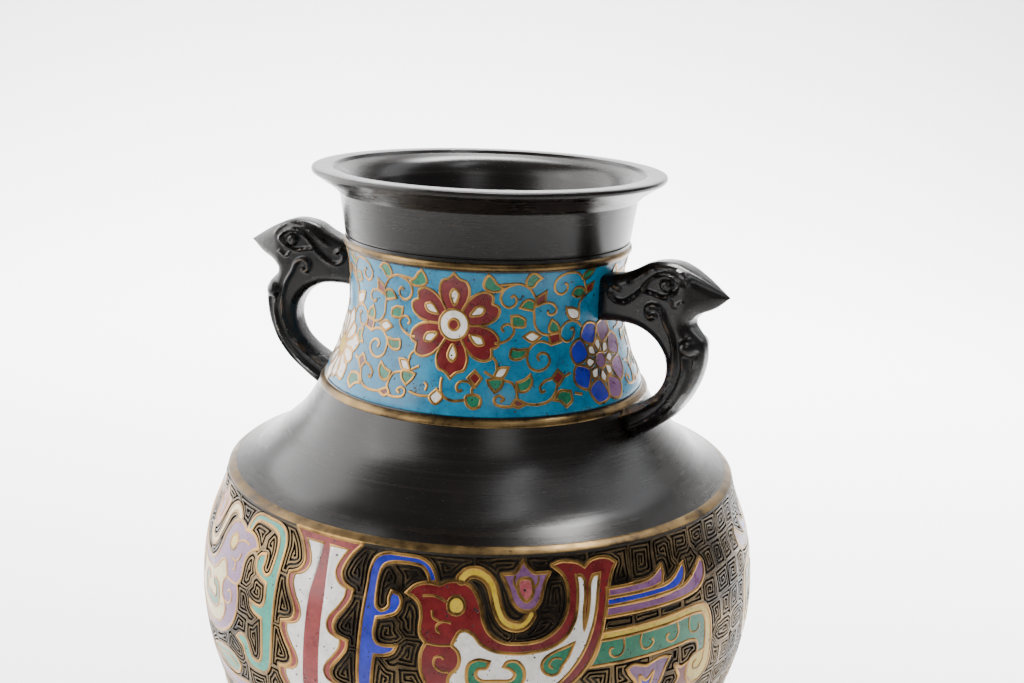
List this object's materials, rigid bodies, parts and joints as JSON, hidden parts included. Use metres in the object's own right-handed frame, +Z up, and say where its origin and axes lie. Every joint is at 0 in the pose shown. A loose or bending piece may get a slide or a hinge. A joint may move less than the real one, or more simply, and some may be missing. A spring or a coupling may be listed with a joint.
{
  "type": "champleve bronze vase",
  "caption": "Baluster vase of seated bronze sections with enamel set in cast pockets, brass fillet rings and a pair of bird-head loop handles.",
  "frame": {"origin": "centre of the foot's resting face, at the bottom centre of the vase", "axes": "+Z up along the vase's axis; the handles stand near +X and -X, each turned 7 degrees towards the front; the front of the vase faces -Y"},
  "size_m": [0.1924, 0.1924, 0.305],
  "materials": {
    "bronze": "dark patinated bronze, satin, turned",
    "cast_bronze": "dark patinated bronze, cast, semi-gloss",
    "brass": "rubbed brass",
    "turquoise_enamel": "polished enamel",
    "red_enamel": "polished enamel",
    "blue_enamel": "polished enamel",
    "white_enamel": "polished enamel",
    "teal_enamel": "polished enamel",
    "green_enamel": "polished enamel",
    "yellow_enamel": "polished enamel",
    "mauve_enamel": "polished enamel"
  },
  "bodies": {
    "root": {"mouth_ring": "bronze", "neck_top_bead": "brass", "neck_sleeve": "bronze", "neck_enamel_ground": "turquoise_enamel", "neck_blossoms_red": "red_enamel", "neck_blossoms_blue": "blue_enamel", "neck_blossoms_white": "white_enamel", "neck_bottom_bead": "brass", "shoulder_cone": "bronze", "shoulder_bead": "brass", "belly_band": "cast_bronze", "column_enamel": "white_enamel", "hook_enamel_blue": "blue_enamel", "hook_enamel_teal": "teal_enamel", "bird_enamel_red": "red_enamel", "bird_enamel_mauve": "mauve_enamel", "plume_enamel_yellow": "yellow_enamel", "plume_enamel_ivory": "white_enamel", "tulip_enamel": "mauve_enamel", "feather_enamel": "mauve_enamel", "scroll_bar_enamel": "green_enamel", "leaf_enamel": "mauve_enamel", "belly_bottom_bead": "brass", "lower_band": "bronze", "lower_band_enamel": "turquoise_enamel", "lower_band_bead": "brass", "lower_body": "bronze", "foot_top_bead": "brass", "foot_band": "bronze", "foot_enamel": "turquoise_enamel", "foot_rim_bead": "brass", "foot_rim": "bronze", "base_plate": "bronze", "handle_right": "cast_bronze", "handle_left": "cast_bronze"}
  },
  "joints": []
}
